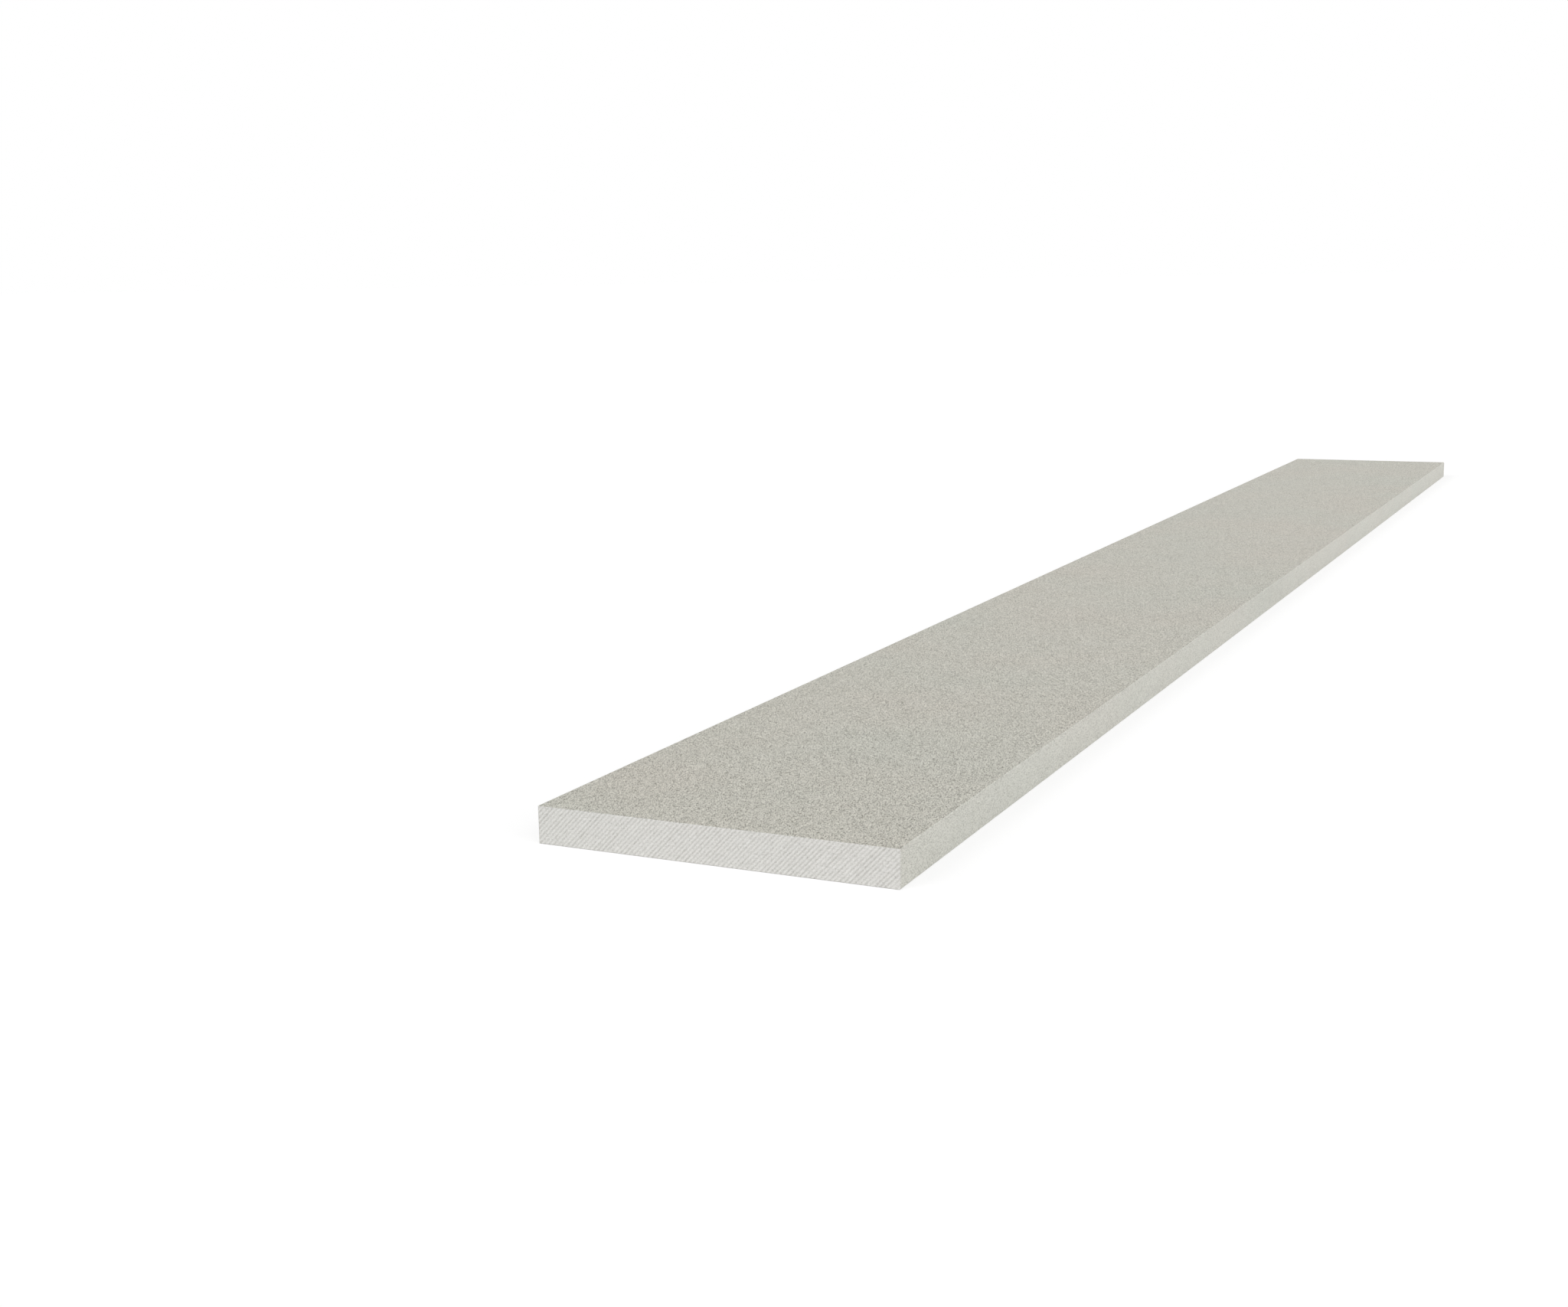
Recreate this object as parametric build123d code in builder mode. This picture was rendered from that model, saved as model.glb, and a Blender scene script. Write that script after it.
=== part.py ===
from build123d import *
import os

# Shower niche sill: one plank of composite stone, sawn from a slab. It lies on its underside.
# X runs along the plank, the finished front edge faces -Y, and the back edge, which goes to
# the wall of the niche, faces +Y. The origin is under the middle of the plank.

# Sizes of the plank, in millimetres
length = 2000.0
depth = 200.0
thickness = 20.0

# How far the eased arrises of the front edge are set back along the faces that they join
front_arris = 0.5

with BuildPart() as sill:
    # The section across the plank, seen along its length: depth to the right, thickness upwards
    with BuildSketch(Plane.YZ) as section:
        Rectangle(depth, thickness, align=(Align.CENTER, Align.MIN))
        # Only the front edge shows in a finished niche, so only its two arrises are eased
        front_corners = section.vertices().group_by(Axis.X)[0]
        chamfer(front_corners, length=front_arris)
    # Both ends are sawn off square, at the same distance from the middle
    extrude(amount=length / 2, both=True)

sill.part.label = "sill"

os.makedirs("parts", exist_ok=True)
export_step(sill.part, "parts/sill.step")
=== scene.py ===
"""Dresses a shower niche sill: one plank of pale composite stone, honed on its shelf face and on its
front edge, with the marks of the saw on both ends.

X runs along the plank, its front edge faces -Y, Z is up, and every length is in metres.
"""

import logging
import math
from dataclasses import dataclass
from enum import Enum

import bpy
import numpy as np
from mathutils import Matrix, Vector


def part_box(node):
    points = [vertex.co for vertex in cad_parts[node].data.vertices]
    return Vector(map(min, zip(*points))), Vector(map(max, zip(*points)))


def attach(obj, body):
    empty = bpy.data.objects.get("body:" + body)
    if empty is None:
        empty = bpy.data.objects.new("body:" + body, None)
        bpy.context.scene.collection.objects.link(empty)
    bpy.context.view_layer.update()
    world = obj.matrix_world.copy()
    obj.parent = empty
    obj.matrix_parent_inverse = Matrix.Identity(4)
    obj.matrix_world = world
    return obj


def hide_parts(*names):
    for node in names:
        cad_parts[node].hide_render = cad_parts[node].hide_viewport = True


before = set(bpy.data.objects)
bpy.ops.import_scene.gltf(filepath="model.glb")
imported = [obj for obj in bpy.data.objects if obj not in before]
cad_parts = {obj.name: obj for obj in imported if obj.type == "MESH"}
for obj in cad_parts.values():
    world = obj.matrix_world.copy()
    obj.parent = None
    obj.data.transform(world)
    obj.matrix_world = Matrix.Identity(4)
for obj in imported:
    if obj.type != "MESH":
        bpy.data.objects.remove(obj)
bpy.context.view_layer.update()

LOG = logging.getLogger("niche_sill")
MM = 0.001
NODE = "sill"
BODY = "root"
MARK_ATTRIBUTE = "saw_mark"
# Points that are nearer to each other than this become one
WELD = 0.001 * MM
# Level of a tone or a layer that is neither dark nor pale
MIDDLE = 0.5
WHITE = (1.0, 1.0, 1.0, 1.0)

Colour = tuple[float, float, float]
Triple = tuple[float, float, float]


class End(Enum):
    """The two sawn ends, by the sign of the X that they face."""

    NEAR = -1
    FAR = 1


class Finish(Enum):
    """How the mason left a face of the plank."""

    HONED_SHELF = "honed_shelf"
    HONED_EDGE = "honed_edge"
    SAWN_END = "sawn_end"
    CALIBRATED_BACK = "calibrated_back"


def value_noise(across: np.ndarray, along: np.ndarray, seed: int) -> np.ndarray:
    """Smooth random values over a plane, with a fresh value at each pair of whole numbers.

    The values at the four corners of a unit cell are blended both ways by 3t^2 - 2t^3.

    Args:
        across: First place of each point, in cells.
        along: Second place of each point, in cells.
        seed: Picks the random values.

    Returns:
        A value from 0 to 1 for each point.
    """
    side = 64
    lattice = np.random.default_rng(seed).random((side, side))
    i, j = np.floor(across).astype(int), np.floor(along).astype(int)
    s, t = across - i, along - j
    s, t = s * s * (3 - 2 * s), t * t * (3 - 2 * t)
    near = lattice[i % side, j % side] * (1 - s) + lattice[(i + 1) % side, j % side] * s
    far = lattice[i % side, (j + 1) % side] * (1 - s) + lattice[(i + 1) % side, (j + 1) % side] * s
    return near * (1 - t) + far * t


@dataclass(frozen=True)
class SawMarks:
    """Straight marks of a saw across an end. Seen from outside, they rise to the right.

    Attributes:
        pitch_across: Distance from mark to mark along the plank's depth.
        pitch_up: Distance from mark to mark up its thickness.
        depth: How far the deepest mark goes in.
        marks_per_beat: Marks from one slow swell of the feed to the next.
        beat: Share of the depth that comes and goes with that swell.
        uneven: Share of the depth that differs from mark to mark.
        grit: Share of the depth that is lost or gained in patches along a mark.
        patch: Length of such a patch.
        sharpness: Power that narrows the floor of a mark.
        lots: Number of depths drawn for the marks, before they are used again.
        seed: Picks the unevenness.
    """

    pitch_across: float
    pitch_up: float
    depth: float = 0.20 * MM
    marks_per_beat: float = 5.9
    beat: float = 0.16
    uneven: float = 0.22
    grit: float = 0.25
    patch: float = 1.6 * MM
    sharpness: float = 1.35
    lots: int = 256
    seed: int = 11

    def share_at(self, right: np.ndarray, down: np.ndarray) -> np.ndarray:
        """How deep the marks are at places on the end.

        The phase right / pitch_across + down / pitch_up gains 1 from mark to mark. A mark is
        ((1 - cos(2 pi phase)) / 2) to the power of sharpness, so that its floor is narrower than
        the ridge beside it, times a depth that varies with the slow swell, the mark and the patch.

        Args:
            right: Distance from the left edge of the end, seen from outside.
            down: Distance from its upper edge.

        Returns:
            Depth from 0, on a ridge, to 1, in the deepest mark.
        """
        phase = right / self.pitch_across + down / self.pitch_up
        profile = (0.5 - 0.5 * np.cos(2 * np.pi * phase)) ** self.sharpness
        swell = 0.5 + 0.5 * np.cos(2 * np.pi * phase / self.marks_per_beat)
        lots = np.random.default_rng(self.seed).random(self.lots)
        lot = lots[np.floor(phase).astype(int) % self.lots]
        patch = value_noise(right / self.patch, down / self.patch, self.seed)
        strength = 1 - self.beat * swell - self.uneven * lot - self.grit * patch
        return profile * strength


@dataclass(frozen=True)
class Band:
    """A straight stretch of the plank's section, which makes one of its long faces.

    Attributes:
        start: Y and Z of the stretch's first corner.
        end: Y and Z of its last corner.
        steps: Points' spacings across it at a sawn end.
        finish: How the face is finished.
        map_share: Height of the face on the bake map, as a share of its true width.
    """

    start: tuple[float, float]
    end: tuple[float, float]
    steps: int
    finish: Finish
    map_share: float

    def width(self) -> float:
        """Width of the long face."""
        return math.dist(self.start, self.end)


@dataclass
class Surface:
    """A stretch of the plank's skin.

    Attributes:
        points: X, Y and Z of each point.
        faces: Arrays of faces, one array for each number of corners.
        plan: Each point's place on its own strip of the bake map, as a share of the strip's length
            and a height.
        finish: How the skin is finished.
        marks: Depth of the saw's marks at each point, from 0 to 1.
    """

    points: np.ndarray
    faces: list[np.ndarray]
    plan: np.ndarray
    finish: Finish
    marks: np.ndarray


@dataclass
class NicheSill:
    """The plank: a section of six straight bands, carried along X from one sawn end to the other.

    Attributes:
        low: Lowest corner of the plank.
        high: Highest corner of the plank.
        arris: How far the eased arrises of the front edge are set back.
        steps_across: Spacings of the points along an end's depth.
        steps_up: Spacings of the points up an end's thickness.
        arris_steps: Spacings of the points across an eased arris.
        steps_per_mark: Spacings from one saw mark to the next, both ways.
        graded_strips: Strips behind an end over which the spacing doubles each time.
        body_steps: Stations from the last graded strip to the middle of the plank.
        end_map_share: Height of an end on the bake map, as a share of its true height.
    """

    low: Vector
    high: Vector
    arris: float
    steps_across: int = 456
    steps_up: int = 44
    arris_steps: int = 1
    steps_per_mark: int = 6
    graded_strips: int = 3
    body_steps: int = 20
    end_map_share: float = 0.5

    @classmethod
    def from_frame(cls, node: str) -> "NicheSill":
        """Takes the sizes of the plank from its solid.

        Args:
            node: Name of the solid.

        Returns:
            The plank, with no mesh as yet.
        """
        low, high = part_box(node)
        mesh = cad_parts[node].data
        points = np.empty(len(mesh.vertices) * 3)
        mesh.vertices.foreach_get("co", points)
        points = points.reshape(-1, 3)
        on_front = points[:, 1] < low.y + WELD
        return cls(low, high, float(points[on_front, 2].min() - low.z))

    def saw_marks(self) -> SawMarks:
        """Spaces the marks of the saw so that the diagonals of an end's grid run along them.

        Returns:
            The marks, which are the same on both ends.
        """
        across = (self.high.y - self.low.y - self.arris) / self.steps_across
        up = (self.high.z - self.low.z) / self.steps_up
        return SawMarks(across * self.steps_per_mark, up * self.steps_per_mark)

    def bands(self) -> list[Band]:
        """Goes round the section, from the front of the underside to the back, and over the top.

        Returns:
            The stretches of the section, each from one corner to the next.
        """
        front, back, under, top = self.low.y, self.high.y, self.low.z, self.high.z
        corners = [
            (front + self.arris, under),
            (back, under),
            (back, top),
            (front + self.arris, top),
            (front, top - self.arris),
            (front, under + self.arris),
        ]
        # Spacings, finish and share of the true width on the bake map, for each stretch in turn
        kinds = [
            (self.steps_across, Finish.CALIBRATED_BACK, 0.5),
            (self.steps_up, Finish.CALIBRATED_BACK, 1.0),
            (self.steps_across, Finish.HONED_SHELF, 1.0),
            (self.arris_steps, Finish.HONED_EDGE, 4.0),
            (self.steps_up, Finish.HONED_EDGE, 1.5),
            (self.arris_steps, Finish.HONED_EDGE, 4.0),
        ]
        following = corners[1:] + corners[:1]
        return [Band(a, b, *kind) for a, b, kind in zip(corners, following, kinds)]

    def sunk_x(self, end: End, y: np.ndarray, z: np.ndarray) -> tuple[np.ndarray, np.ndarray]:
        """Where the sawn face of an end lies.

        X is the end's own X less the depth of the saw's marks, towards the middle of the plank. The
        place on the end is taken from its left and upper edges, as seen from outside.

        Args:
            end: Which end.
            y: Y of each point.
            z: Z of each point.

        Returns:
            X of each point, and the depth of the marks there from 0 to 1.
        """
        left = self.high.y if end is End.NEAR else self.low.y
        marks = self.saw_marks()
        share = marks.share_at(np.abs(y - left), self.high.z - z)
        outer = self.low.x if end is End.NEAR else self.high.x
        return outer - end.value * marks.depth * share, share

    def end_cap(self, end: End) -> Surface:
        """A sawn end: a height field over the section of the plank.

        The columns stand side by side along Y. A column within the arrises is shorter at both ends
        by what they take off it, and its points share out what is left. Each cell is halved along
        the diagonal that the saw's marks follow.

        Args:
            end: Which end.

        Returns:
            The skin of the end.
        """
        inner = np.linspace(self.low.y + self.arris, self.high.y, self.steps_across + 1)
        column = np.concatenate([[self.low.y], inner])
        taken = np.maximum(self.low.y + self.arris - column, 0)
        share = np.linspace(0, 1, self.steps_up + 1)[:, None]
        thickness = self.high.z - self.low.z
        z = self.low.z + taken + share * (thickness - 2 * taken)
        y = np.broadcast_to(column, z.shape)
        x, marks = self.sunk_x(end, y, z)

        index = np.arange(z.size).reshape(z.shape)
        a, b = index[:-1, :-1].ravel(), index[:-1, 1:].ravel()
        d, c = index[1:, :-1].ravel(), index[1:, 1:].ravel()
        if end is End.FAR:
            halves = np.concatenate([np.stack([a, b, c], 1), np.stack([a, c, d], 1)])
        else:
            halves = np.concatenate([np.stack([d, b, a], 1), np.stack([d, c, b], 1)])

        half, depth = 0.5 * (self.high.x - self.low.x), self.high.y - self.low.y
        height = (z - self.low.z) * self.end_map_share * half / depth
        plan = np.stack([(y - self.low.y) / depth, height], -1)
        points = np.stack([x, y, z], -1).reshape(-1, 3)
        return Surface(points, [halves], plan.reshape(-1, 2), Finish.SAWN_END, marks.ravel())

    def stations(self) -> np.ndarray:
        """Distances from an end at which the section is set, up to the middle of the plank.

        Each graded strip is as long as the spacing across it, which doubles from strip to strip.

        Returns:
            The distances, from 0.
        """
        spacing = (self.high.y - self.low.y - self.arris) / self.steps_across
        graded = np.cumsum(spacing * 2.0 ** np.arange(1, self.graded_strips + 1))
        half = 0.5 * (self.high.x - self.low.x)
        body = np.linspace(graded[-1], half, self.body_steps + 1)
        return np.concatenate([[0.0], graded[:-1], body])

    def row_counts(self, steps: int, rows: int) -> list[int]:
        """How many spacings each row of a long face has, halved behind the end while they are even.

        Args:
            steps: Spacings at the end.
            rows: Number of rows.

        Returns:
            Spacings of each row.
        """
        counts = [steps]
        for row in range(1, rows):
            halved = row <= self.graded_strips and counts[-1] % 2 == 0
            counts.append(counts[-1] // 2 if halved else counts[-1])
        return counts

    def half_band(self, band: Band, end: End) -> Surface:
        """Half of a long face, from one end to the middle of the plank.

        A point is at a share of the band, from its first corner to its last, carried along X to each
        station in turn. The first row lies on the sawn end. Where a row has half the spacings of the
        row before it, each of its faces has five corners.

        Args:
            band: The stretch of the section.
            end: The end that the half starts from.

        Returns:
            The skin of the half.
        """
        stations = self.stations()
        counts = self.row_counts(band.steps, len(stations))
        outer = self.low.x if end is End.NEAR else self.high.x
        start, run = np.array(band.start), np.subtract(band.end, band.start)
        points, plan, marks, faces, first = [], [], [], [], 0
        for row, (distance, count) in enumerate(zip(stations, counts)):
            share = np.linspace(0, 1, count + 1)
            y, z = start[:, None] + run[:, None] * share
            x, depth = self.sunk_x(end, y, z)
            if row:
                x, depth = np.full_like(y, outer - end.value * distance), np.zeros_like(y)
            points.append(np.stack([x, y, z], 1))
            marks.append(depth)
            along = np.full_like(y, distance / stations[-1])
            plan.append(np.stack([along, share * band.width() * band.map_share], 1))
            if row:
                faces.append(self.strip(first - counts[row - 1] - 1, counts[row - 1], first, count))
            first += count + 1
        if end is End.NEAR:
            faces = [strip[:, ::-1] for strip in faces]
        return Surface(np.concatenate(points), faces, np.concatenate(plan), band.finish,
                       np.concatenate(marks))

    @staticmethod
    def strip(outer_first: int, outer: int, inner_first: int, inner: int) -> np.ndarray:
        """Faces between two rows of points.

        Args:
            outer_first: Index of the first point in the row nearer to the end.
            outer: Spacings of that row.
            inner_first: Index of the first point in the next row.
            inner: Spacings of that row, as many as the other has, or half as many.

        Returns:
            One face to each spacing of the inner row.
        """
        b = inner_first + np.arange(inner)
        if outer == inner:
            a = outer_first + np.arange(inner)
            return np.stack([a, b, b + 1, a + 1], 1)
        a = outer_first + 2 * np.arange(inner)
        return np.stack([a, b, b + 1, a + 2, a + 1], 1)

    def build(self) -> bpy.types.Object:
        """Joins the two ends and the halves of the long faces into one closed mesh.

        Returns:
            The plank's object, which rides on the body and stands for the plain solid.
        """
        skin = [self.end_cap(end) for end in End]
        skin += [self.half_band(band, end) for band in self.bands() for end in End]
        points = np.concatenate([s.points for s in skin])
        keys = np.round(points / WELD).astype(np.int64)
        _, kept, welded = np.unique(keys, axis=0, return_index=True, return_inverse=True)
        welded = welded.ravel()

        first = 0
        faces, corners, finishes, smooth = [], [], [], []
        for surface in skin:
            for group in surface.faces:
                faces += welded[group + first].tolist()
                corners.append((group + first).ravel())
                finishes.append(np.full(len(group), list(Finish).index(surface.finish)))
                smooth.append(np.full(len(group), surface.finish is Finish.SAWN_END))
            first += len(surface.points)

        mesh = bpy.data.meshes.new("niche_sill")
        mesh.from_pydata(points[kept], [], faces)
        mesh.polygons.foreach_set("material_index", np.concatenate(finishes))
        mesh.polygons.foreach_set("use_smooth", np.concatenate(smooth))
        marks = np.concatenate([s.marks for s in skin])[kept]
        mesh.attributes.new(MARK_ATTRIBUTE, "FLOAT", "POINT").data.foreach_set("value", marks)
        places = stack_strips([s.plan for s in skin])[np.concatenate(corners)]
        mesh.uv_layers.new(name="OFBake").data.foreach_set("uv", places.ravel())
        mesh.update()

        plank = bpy.data.objects.new("niche_sill", mesh)
        bpy.context.scene.collection.objects.link(plank)
        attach(plank, BODY)
        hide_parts(NODE)
        return plank

    def dress(self, plank: bpy.types.Object, stone: "Stone") -> None:
        """Gives each face of the plank its finish and the painted light or shade in the face's colour.

        Args:
            plank: The plank's object.
            stone: The stone that it is cut from.
        """
        for finish in Finish:
            plank.data.materials.append(stone.finished(FINISHES_AND_PAINTED_LIGHT[finish]))


def stack_strips(plans: list[np.ndarray], gap: float = 4 * MM, margin: float = 0.004) -> np.ndarray:
    """Lays strips of skin one above another on the bake map, each over the map's whole width.

    Args:
        plans: Each strip's points, as a share of its length and a height.
        gap: Room between two strips, in their own heights.
        margin: Room at the sides of the map, as a share of it.

    Returns:
        Each point's place on the map, from 0 to 1 both ways.
    """
    tops = np.cumsum([plan[:, 1].max() + gap for plan in plans])
    floors = np.concatenate([[0.0], tops[:-1]]) + gap / 2
    laid = [plan + (0.0, floor) for plan, floor in zip(plans, floors)]
    places = np.concatenate(laid) * (1 - 2 * margin, 1 / tops[-1])
    return places + (margin, 0.0)


@dataclass(frozen=True)
class FinishAndPaintedLight:
    """What a finish and the face's painted light or shade do to the look of the stone.

    Attributes:
        name: Name of the material.
        cool: Colour of the stone where it leans to green, as linear red, green and blue.
        warm: Colour of the stone where it leans to pink.
        grain: How far the tone of the grains spreads.
        mottle: How far the tone of the lighter and darker patches spreads.
        roughness: Roughness of the face.
        relief: Height of the fine unevenness in it.
        painted_mark_shading: How far painted shade darkens a saw mark's floor and painted light pales
            its ridges.
        scratch: How far the tone of the saw's fine level scratches spreads.
    """

    name: str
    cool: Colour
    warm: Colour
    grain: float
    mottle: float
    roughness: float
    relief: float
    painted_mark_shading: float = 0.0
    scratch: float = 0.0


# The faces' colours hold painted light and shade as well as their finish.
FINISHES_AND_PAINTED_LIGHT = {
    Finish.HONED_SHELF: FinishAndPaintedLight(
        name="honed_shelf",
        cool=(0.471, 0.468, 0.406),
        warm=(0.487, 0.464, 0.401),
        grain=1.0,
        mottle=1.0,
        roughness=0.55,
        relief=0.02 * MM,
    ),
    Finish.HONED_EDGE: FinishAndPaintedLight(
        name="honed_edge",
        # Paler than the honed shelf though just as honed: painted light on the front edge.
        cool=(0.600, 0.603, 0.538),
        warm=(0.616, 0.602, 0.538),
        grain=0.46,
        mottle=0.8,
        roughness=0.55,
        relief=0.02 * MM,
    ),
    Finish.SAWN_END: FinishAndPaintedLight(
        # Paler than the shelf, partly for the sawn finish and partly as painted light on the ends.
        name="sawn_end",
        cool=(0.581, 0.577, 0.543),
        warm=(0.597, 0.583, 0.551),
        grain=0.25,
        mottle=0.4,
        roughness=0.75,
        relief=0.04 * MM,
        # Painted shade on the saw marks' floors and painted light on their ridges, over the relief.
        painted_mark_shading=0.20,
        scratch=0.18,
    ),
    Finish.CALIBRATED_BACK: FinishAndPaintedLight(
        name="calibrated_back",
        cool=(0.540, 0.538, 0.492),
        warm=(0.565, 0.545, 0.502),
        grain=0.6,
        mottle=0.8,
        roughness=0.70,
        relief=0.03 * MM,
    ),
}


class NodeBench:
    """A node tree, with short calls for the nodes that go on it.

    A Mix node has sockets for numbers and vectors too, so those for colours go by their place in it.
    """

    FIRST_COLOUR = 6
    SECOND_COLOUR = 7
    MIXED_COLOUR = 2

    def __init__(self, tree: bpy.types.NodeTree) -> None:
        """Clears the tree.

        Args:
            tree: The tree to work on.
        """
        self.tree = tree
        tree.nodes.clear()

    def add(self, kind: str, **settings: object) -> bpy.types.Node:
        """Lays down a node.

        Args:
            kind: The node's type name.
            **settings: Properties to set on it.

        Returns:
            The node.
        """
        node = self.tree.nodes.new(kind)
        for name, value in settings.items():
            setattr(node, name, value)
        return node

    def feed(self, socket: bpy.types.NodeSocket, value: object) -> None:
        """Links a socket to another, or sets it.

        Args:
            socket: The input to feed.
            value: An output to link, or a plain value.
        """
        if isinstance(value, bpy.types.NodeSocket):
            self.tree.links.new(value, socket)
        else:
            socket.default_value = value

    def math(self, operation: str, *values: object) -> bpy.types.NodeSocket:
        """Works out a number.

        Args:
            operation: The node's operation.
            *values: Outputs or numbers, in order.

        Returns:
            The result's output.
        """
        node = self.add("ShaderNodeMath", operation=operation)
        for socket, value in zip(node.inputs, values):
            self.feed(socket, value)
        return node.outputs[0]

    def blend(self, share: object, first: object, second: object) -> bpy.types.NodeSocket:
        """Mixes two colours.

        Args:
            share: Share of the second colour.
            first: First colour.
            second: Second colour.

        Returns:
            The mixed colour's output.
        """
        node = self.add("ShaderNodeMix", data_type="RGBA")
        self.feed(node.inputs["Factor"], share)
        self.feed(node.inputs[self.FIRST_COLOUR], first)
        self.feed(node.inputs[self.SECOND_COLOUR], second)
        return node.outputs[self.MIXED_COLOUR]

    def ramp(self, value: object, stops: list[tuple[float, float]]) -> bpy.types.NodeSocket:
        """Maps a number through straight stretches between stops.

        Args:
            value: The number.
            stops: Pairs of a number from 0 to 1 and the level there.

        Returns:
            The level's output.
        """
        node = self.add("ShaderNodeValToRGB")
        elements = node.color_ramp.elements
        while len(elements) < len(stops):
            elements.new(1.0)
        for element, (position, level) in zip(elements, stops):
            element.position = position
            element.color = (level, level, level, 1.0)
        self.feed(node.inputs[0], value)
        return node.outputs[0]

    def sway(self, base: object, layer: object, spread: float) -> bpy.types.NodeSocket:
        """Sways a number up and down by a layer, from the layer's middle level.

        Args:
            base: The number.
            layer: The layer, from 0 to 1.
            spread: How far the number goes from the layer's lowest level to its highest.

        Returns:
            The swayed number's output.
        """
        return self.math("MULTIPLY_ADD", self.math("SUBTRACT", layer, MIDDLE), spread, base)

    def stretch(self, where: object, times: Triple, turn: float = 0.0) -> bpy.types.NodeSocket:
        """Stretches what is laid out in space, and then turns it about Z.

        Args:
            where: The place.
            times: How many times longer things become along X, Y and Z.
            turn: Angle of the turn, in degrees.

        Returns:
            The place in the layout as it was.
        """
        node = self.add("ShaderNodeMapping", vector_type="TEXTURE")
        self.feed(node.inputs["Vector"], where)
        node.inputs["Scale"].default_value = times
        node.inputs["Rotation"].default_value = (0.0, 0.0, math.radians(turn))
        return node.outputs[0]

    def noise(self, where: object, size: float) -> bpy.types.NodeSocket:
        """Smooth noise in space.

        Args:
            where: The place.
            size: Width of its blots.

        Returns:
            The noise's output, at the middle level on average.
        """
        node = self.add("ShaderNodeTexNoise")
        self.feed(node.inputs["Vector"], where)
        node.inputs["Scale"].default_value = 1 / size
        return node.outputs["Fac"]

    def grains(self, where: object, size: float) -> bpy.types.NodeSocket:
        """Packed grains in space, each with a random number of its own.

        Args:
            where: The place.
            size: Width of a grain.

        Returns:
            The grain's number, spread evenly from 0 to 1.
        """
        cells = self.add("ShaderNodeTexVoronoi")
        self.feed(cells.inputs["Vector"], where)
        cells.inputs["Scale"].default_value = 1 / size
        split = self.add("ShaderNodeSeparateColor")
        self.feed(split.inputs[0], cells.outputs["Color"])
        return split.outputs[0]


@dataclass(frozen=True)
class Grain:
    """One size of grain in the stone.

    Attributes:
        width: Width of a grain.
        length: Length of a grain.
        slant: Angle from the plank's length to the grain's length, in degrees.
        spread: How far the grains go from dark to pale, where 1 is all the way.
        dark: Share of these grains that are darker than the rest of the stone.
        pale: Share of them that are paler.
    """

    # Share of the dark grains that are deep, and how dark or pale the kinds of grain are
    DEEP_SHARE = 0.7
    DEEP_LEVEL = 0.1
    PLAIN_LEVEL = 0.55
    PALE_LEVEL = 0.8

    width: float
    length: float
    slant: float
    spread: float
    dark: float
    pale: float

    def stops(self) -> list[tuple[float, float]]:
        """Levels for a grain's number, from the darkest grain to the palest.

        Most of the dark grains are deep, and the others shade off to the middle level. The plain
        grains rise a little from there, and the pale grains rise further.

        Returns:
            Pairs of a number from 0 to 1 and the level there.
        """
        return [
            (0.0, 0.0),
            (self.DEEP_SHARE * self.dark, self.DEEP_LEVEL),
            (self.dark, MIDDLE),
            (1.0 - self.pale, self.PLAIN_LEVEL),
            (1.0, self.PALE_LEVEL),
        ]


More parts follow.
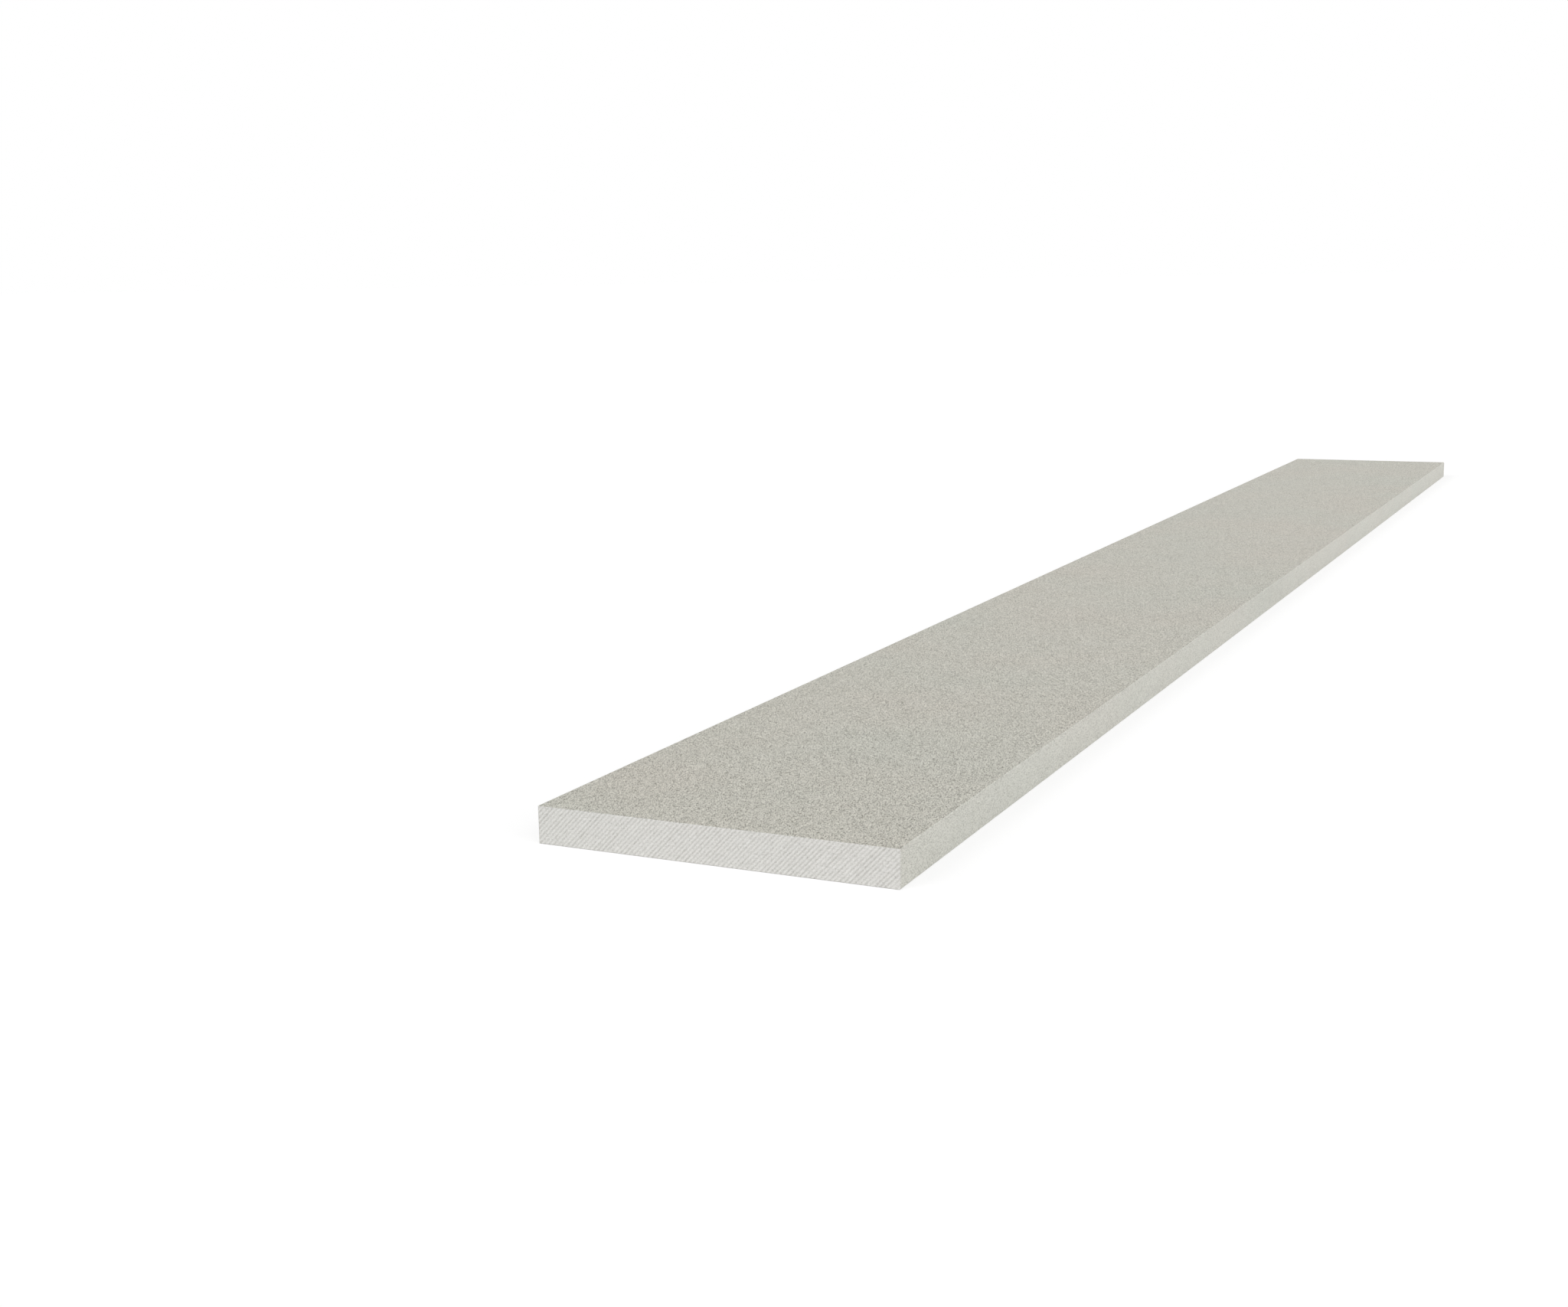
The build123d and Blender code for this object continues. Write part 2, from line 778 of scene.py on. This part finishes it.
@dataclass(frozen=True)
class Stone:
    """A composite stone of fine dark and pale grains.

    Attributes:
        grains: The sizes of grain in it.
        dark: Colour of the darkest grains, as a multiple of the finish's own colour.
        pale: Colour of the palest grains, in the same way.
        drift: Width of the patches that lie lighter or darker.
        drift_spread: How far their tone spreads.
        cloud: Width of the clouds that lean to green or to pink.
        cloud_edges: Levels of the noise at which a cloud is all green and all pink.
        scratch: Length and height of a scratch from the saw.
        plain_mark: Depth in a saw mark, from 0 to 1, where its painted shading is nil: the stone's own
            tone.
        sheen: Width of the patches that lie duller or glossier.
        sheen_spread: How far their roughness spreads.
        pit: Width of the fine unevenness.
    """

    grains: tuple[Grain, ...] = (
        Grain(width=0.31 * MM, length=0.81 * MM, slant=22.0, spread=0.90, dark=0.26, pale=0.50),
        Grain(width=0.46 * MM, length=1.2 * MM, slant=22.0, spread=0.72, dark=0.06, pale=0.03),
        Grain(width=0.9 * MM, length=2.4 * MM, slant=20.0, spread=0.12, dark=0.30, pale=0.30),
    )
    dark: Colour = (0.20, 0.19, 0.15)
    pale: Colour = (1.80, 1.81, 1.87)
    drift: float = 24.0 * MM
    drift_spread: float = 0.06
    cloud: float = 150.0 * MM
    cloud_edges: tuple[float, float] = (0.3, 0.7)
    scratch: tuple[float, float] = (7.0 * MM, 0.45 * MM)
    plain_mark: float = 0.35
    sheen: float = 12.0 * MM
    sheen_spread: float = 0.2
    pit: float = 0.9 * MM

    def finished(self, finish: FinishAndPaintedLight) -> bpy.types.Material:
        """Makes the stone's material with a finish.

        The tone is the middle level plus the spread of the grains, patches and scratches, and the
        painted shading of the saw's marks: painted shade on their floors, painted light on their
        ridges.
        It goes from the dark grains' colour to the pale grains', and that scales a colour that wanders
        between cool and warm, with the face's painted light or shade in it.

        Args:
            finish: The finish, whose colours carry the face's painted light or shade.

        Returns:
            The material.
        """
        material = bpy.data.materials.new(finish.name)
        material.use_nodes = True
        bench = NodeBench(material.node_tree)
        place = bench.add("ShaderNodeTexCoord").outputs["Object"]

        tone = MIDDLE
        for grain in self.grains:
            drawn = bench.stretch(place, (grain.length / grain.width, 1.0, 1.0), grain.slant)
            layer = bench.ramp(bench.grains(drawn, grain.width), grain.stops())
            tone = bench.sway(tone, layer, grain.spread * finish.grain)
        tone = bench.sway(tone, bench.noise(place, self.drift), self.drift_spread * finish.mottle)
        if finish.scratch:
            length, height = self.scratch
            level = bench.noise(bench.stretch(place, (1.0, length / height, 1.0)), height)
            tone = bench.sway(tone, level, finish.scratch)
        if finish.painted_mark_shading:
            # Painted shade on the saw marks' floors and painted light on their ridges
            mark = bench.add("ShaderNodeAttribute", attribute_name=MARK_ATTRIBUTE)
            ridge = bench.math("SUBTRACT", MIDDLE + self.plain_mark, mark.outputs["Fac"])
            tone = bench.sway(tone, ridge, finish.painted_mark_shading)

        green, pink = self.cloud_edges
        cloud = bench.ramp(bench.noise(place, self.cloud), [(green, 0.0), (pink, 1.0)])
        colour = bench.blend(cloud, (*finish.cool, 1.0), (*finish.warm, 1.0))
        scaled = bench.add("ShaderNodeVectorMath", operation="MULTIPLY")
        bench.feed(scaled.inputs[0], colour)
        bench.feed(scaled.inputs[1], bench.blend(tone, (*self.dark, 1.0), (*self.pale, 1.0)))

        shader = bench.add("ShaderNodeBsdfPrincipled")
        bench.feed(shader.inputs["Base Color"], scaled.outputs[0])
        patches = bench.noise(place, self.sheen)
        bench.feed(shader.inputs["Roughness"], bench.sway(finish.roughness, patches, self.sheen_spread))
        bump = bench.add("ShaderNodeBump")
        bump.inputs["Distance"].default_value = finish.relief
        bench.feed(bump.inputs["Height"], bench.noise(place, self.pit))
        bench.feed(shader.inputs["Normal"], bump.outputs[0])
        output = bench.add("ShaderNodeOutputMaterial")
        bench.feed(output.inputs["Surface"], shader.outputs[0])
        return material


@dataclass(frozen=True)
class SoftLight:
    """A broad soft light, far away.

    Attributes:
        name: Name of the lamp.
        towards: Direction from the plank to the light.
        level: What it adds to a face that it meets squarely, where 1 shows a colour as written.
        spread: Angle that the light fills, in degrees.
    """

    name: str
    towards: Triple
    level: float
    spread: float

    def hang(self) -> bpy.types.Object:
        """Puts the light in the scene.

        Returns:
            The lamp.
        """
        lamp = bpy.data.lights.new(self.name, "SUN")
        lamp.energy = self.level * math.pi
        lamp.angle = math.radians(self.spread)
        light = bpy.data.objects.new(self.name, lamp)
        light.rotation_euler = Vector(self.towards).to_track_quat("Z", "Y").to_euler()
        bpy.context.scene.collection.objects.link(light)
        return light


@dataclass(frozen=True)
class Viewpoint:
    """Where the camera stands and how it is held.

    Attributes:
        place: Where it stands.
        turn: Angle from +X to the left, in degrees.
        dip: Angle downwards, in degrees.
        roll: Angle about the line of sight, in degrees.
        lens: Focal length, in millimetres.
        picture: Width of the picture behind the lens, in millimetres.
    """

    place: Triple
    turn: float
    dip: float
    roll: float
    lens: float
    picture: float = 36.0

    def set_up(self) -> bpy.types.Object:
        """Puts the camera in the scene.

        The line of sight is +X, turned to the left and dipped, and the camera is rolled about it.

        Returns:
            The camera.
        """
        turn, dip, roll = (math.radians(a) for a in (self.turn, self.dip, self.roll))
        sight = Vector((math.cos(turn) * math.cos(dip), math.sin(turn) * math.cos(dip), -math.sin(dip)))
        level = Vector((math.sin(turn), -math.cos(turn), 0.0))
        upright = level.cross(sight)
        right = math.cos(roll) * level + math.sin(roll) * upright
        up = math.cos(roll) * upright - math.sin(roll) * level
        lens = bpy.data.cameras.new("camera")
        lens.sensor_width = self.picture
        lens.lens = self.lens
        camera = bpy.data.objects.new("camera", lens)
        held = Matrix((right, up, -sight)).transposed().to_4x4()
        camera.matrix_world = Matrix.Translation(self.place) @ held
        bpy.context.scene.collection.objects.link(camera)
        bpy.context.scene.camera = camera
        return camera


@dataclass(frozen=True)
class Studio:
    """A white floor and sky under plain soft light.

    Attributes:
        sky_level: What the sky adds to a face that sees all of it.
        floor_glow: Share of the floor's white that doesn't depend on the light.
        floor_shade: Share of the floor's white that the light gives, and a shadow takes away.
        floor_bounce: How much light the floor throws back on the plank.
        floor_reach: How far the floor goes out.
        floor_drop: How far the floor lies below the plank, so that no two faces coincide.
    """

    sky_level: float = 0.48
    floor_glow: float = 0.74
    floor_shade: float = 0.30
    floor_bounce: float = 0.80
    floor_reach: float = 300.0
    floor_drop: float = 0.1 * MM

    @staticmethod
    def looked_at(bench: NodeBench) -> bpy.types.NodeSocket:
        """Tells the rays that look at the surroundings from those that light the plank.

        Args:
            bench: The tree to lay the nodes on.

        Returns:
            1 for a ray from the camera, a gloss or a clear material, and otherwise 0.
        """
        path = bench.add("ShaderNodeLightPath").outputs
        seen = bench.math("MAXIMUM", path["Is Camera Ray"], path["Is Glossy Ray"])
        return bench.math("MAXIMUM", seen, path["Is Transmission Ray"])

    def paint_sky(self) -> None:
        """Makes the sky white to look at, and a soft light of its own level on the plank."""
        world = bpy.data.worlds.new("studio_sky")
        world.use_nodes = True
        bench = NodeBench(world.node_tree)
        glow = bench.add("ShaderNodeBackground")
        level = bench.math("MULTIPLY_ADD", self.looked_at(bench), 1.0 - self.sky_level, self.sky_level)
        bench.feed(glow.inputs["Strength"], level)
        glow.inputs["Color"].default_value = WHITE
        output = bench.add("ShaderNodeOutputWorld")
        bench.feed(output.inputs["Surface"], glow.outputs[0])
        bpy.context.scene.world = world

    def floor_material(self) -> bpy.types.Material:
        """White to look at, with a faint shadow, and matt and pale to the light.

        Returns:
            The floor's material.
        """
        material = bpy.data.materials.new("studio_floor")
        material.use_nodes = True
        bench = NodeBench(material.node_tree)
        bounce = bench.add("ShaderNodeBsdfDiffuse")
        bounce.inputs["Color"].default_value = (*(self.floor_bounce,) * 3, 1.0)
        glow = bench.add("ShaderNodeEmission")
        glow.inputs["Color"].default_value = WHITE
        glow.inputs["Strength"].default_value = self.floor_glow
        shade = bench.add("ShaderNodeBsdfDiffuse")
        shade.inputs["Color"].default_value = (*(self.floor_shade,) * 3, 1.0)
        shown = bench.add("ShaderNodeAddShader")
        bench.feed(shown.inputs[0], glow.outputs[0])
        bench.feed(shown.inputs[1], shade.outputs[0])
        either = bench.add("ShaderNodeMixShader")
        bench.feed(either.inputs[0], self.looked_at(bench))
        bench.feed(either.inputs[1], bounce.outputs[0])
        bench.feed(either.inputs[2], shown.outputs[0])
        output = bench.add("ShaderNodeOutputMaterial")
        bench.feed(output.inputs["Surface"], either.outputs[0])
        return material

    def lay_floor(self) -> bpy.types.Object:
        """Lays the floor as a square of four points around the origin, just under the plank.

        Returns:
            The floor.
        """
        corners = np.array([(-1, -1), (1, -1), (1, 1), (-1, 1)]) * self.floor_reach
        points = np.column_stack([corners, np.full(len(corners), -self.floor_drop)])
        mesh = bpy.data.meshes.new("studio_floor")
        mesh.from_pydata(points, [], [(0, 1, 2, 3)])
        mesh.materials.append(self.floor_material())
        floor = bpy.data.objects.new("studio_floor", mesh)
        bpy.context.scene.collection.objects.link(floor)
        return floor


LIGHTS = [
    SoftLight(name="soft_left", towards=(-0.70, 0.40, 0.58), level=0.40, spread=30.0),
    SoftLight(name="soft_right", towards=(-0.45, -0.75, 0.48), level=0.40, spread=50.0),
]
VIEWPOINT = Viewpoint(place=(-1.804, -0.428, 0.282), turn=25.69, dip=10.96, roll=-0.93, lens=44.2)


def main() -> None:
    """Builds the plank and its studio, and reports each piece."""
    logging.basicConfig(level=logging.INFO, format="%(name)s: %(message)s")
    bpy.context.scene.view_settings.view_transform = "Standard"

    sill = NicheSill.from_frame(NODE)
    plank = sill.build()
    sill.dress(plank, Stone())
    LOG.info("%s: %d points, %d faces", plank.name, len(plank.data.vertices), len(plank.data.polygons))

    studio = Studio()
    studio.paint_sky()
    LOG.info("%s laid", studio.lay_floor().name)
    for light in LIGHTS:
        LOG.info("%s hung", light.hang().name)
    LOG.info("%s set up", VIEWPOINT.set_up().name)


if __name__ == "__main__":
    main()
